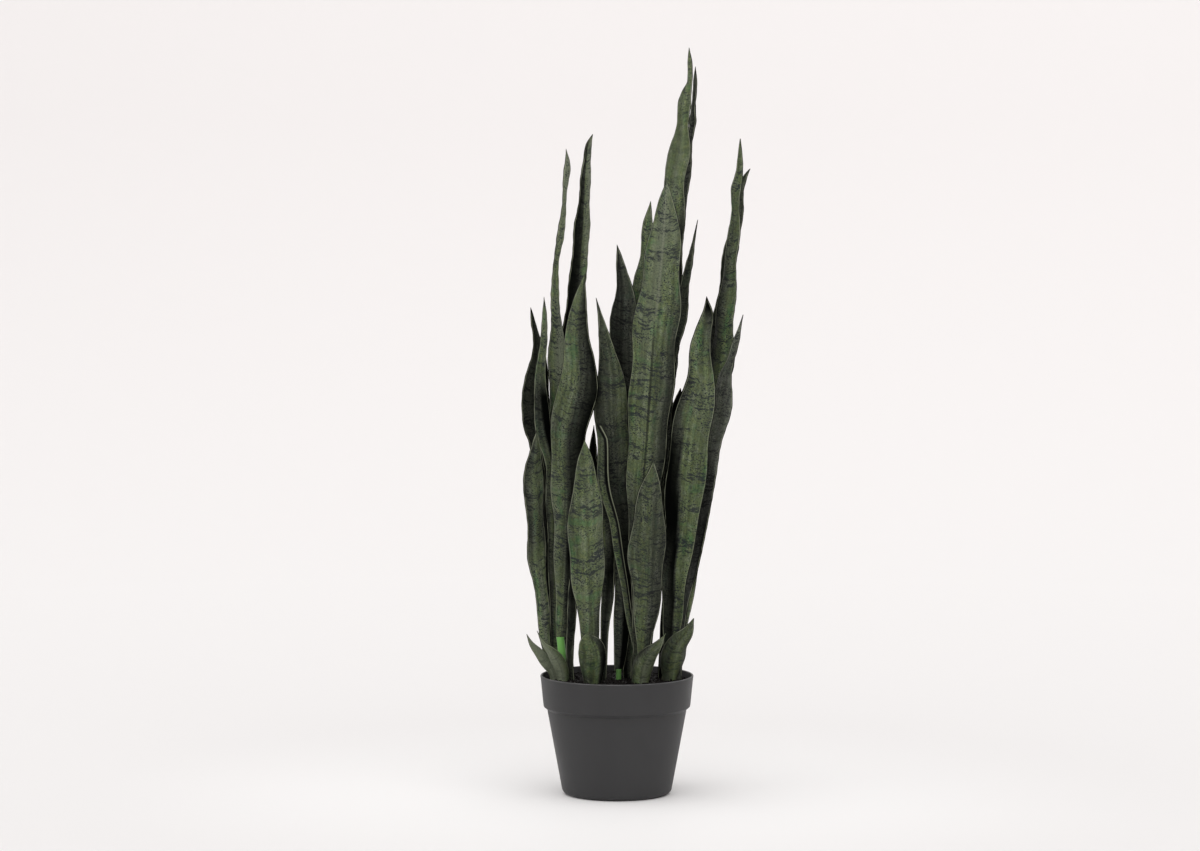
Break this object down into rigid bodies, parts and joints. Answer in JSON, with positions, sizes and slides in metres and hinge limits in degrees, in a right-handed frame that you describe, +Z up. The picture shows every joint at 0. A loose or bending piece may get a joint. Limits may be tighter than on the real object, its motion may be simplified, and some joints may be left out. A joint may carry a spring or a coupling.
{
  "type": "potted snake plant",
  "caption": "Potted snake plant: stiff, banded, sword-shaped leaves in clumps, standing in dark soil in a tapered grey pot with a deep rim band. Decorates a room.",
  "frame": {"origin": "centre of the pot's underside, on the surface that it stands on", "axes": "+Z up along the pot's axis, +X to the right as the picture shows the plant, +Y to its back"},
  "size_m": [0.2881, 0.1926, 0.926],
  "materials": {
    "leaf_green": "satin",
    "leaf_dark": "satin",
    "stalk_green": "satin",
    "soil": "matte",
    "pot_plastic": "matte"
  },
  "bodies": {
    "root": {"pot": "pot_plastic", "soil": "soil", "stalk_left": "stalk_green", "stalk_centre": "stalk_green", "leaf_centre_tall": "leaf_green", "leaf_centre_tall_back": "leaf_dark", "leaf_centre_broad": "leaf_green", "leaf_centre_right": "leaf_dark", "leaf_centre_left": "leaf_green", "leaf_centre_grey": "leaf_dark", "leaf_centre_folded": "leaf_green", "leaf_centre_small": "leaf_dark", "leaf_centre_short": "leaf_green", "leaf_centre_curl": "leaf_green", "leaf_left_tall_thin": "leaf_green", "leaf_left_tall": "leaf_green", "leaf_left_broad": "leaf_green", "leaf_left_narrow": "leaf_dark", "leaf_left_short": "leaf_green", "leaf_left_basal": "leaf_green", "leaf_far_left_dark": "leaf_dark", "leaf_far_left_thin": "leaf_green", "leaf_far_left_inner": "leaf_dark", "leaf_far_left_front": "leaf_green", "leaf_far_left_curl": "leaf_green", "leaf_far_left_lip": "leaf_green", "leaf_right_small": "leaf_dark", "leaf_right_broad": "leaf_green", "leaf_right_low": "leaf_dark", "leaf_right_tall": "leaf_green", "leaf_right_tall_back": "leaf_dark", "leaf_right_curl": "leaf_green"}
  },
  "joints": []
}
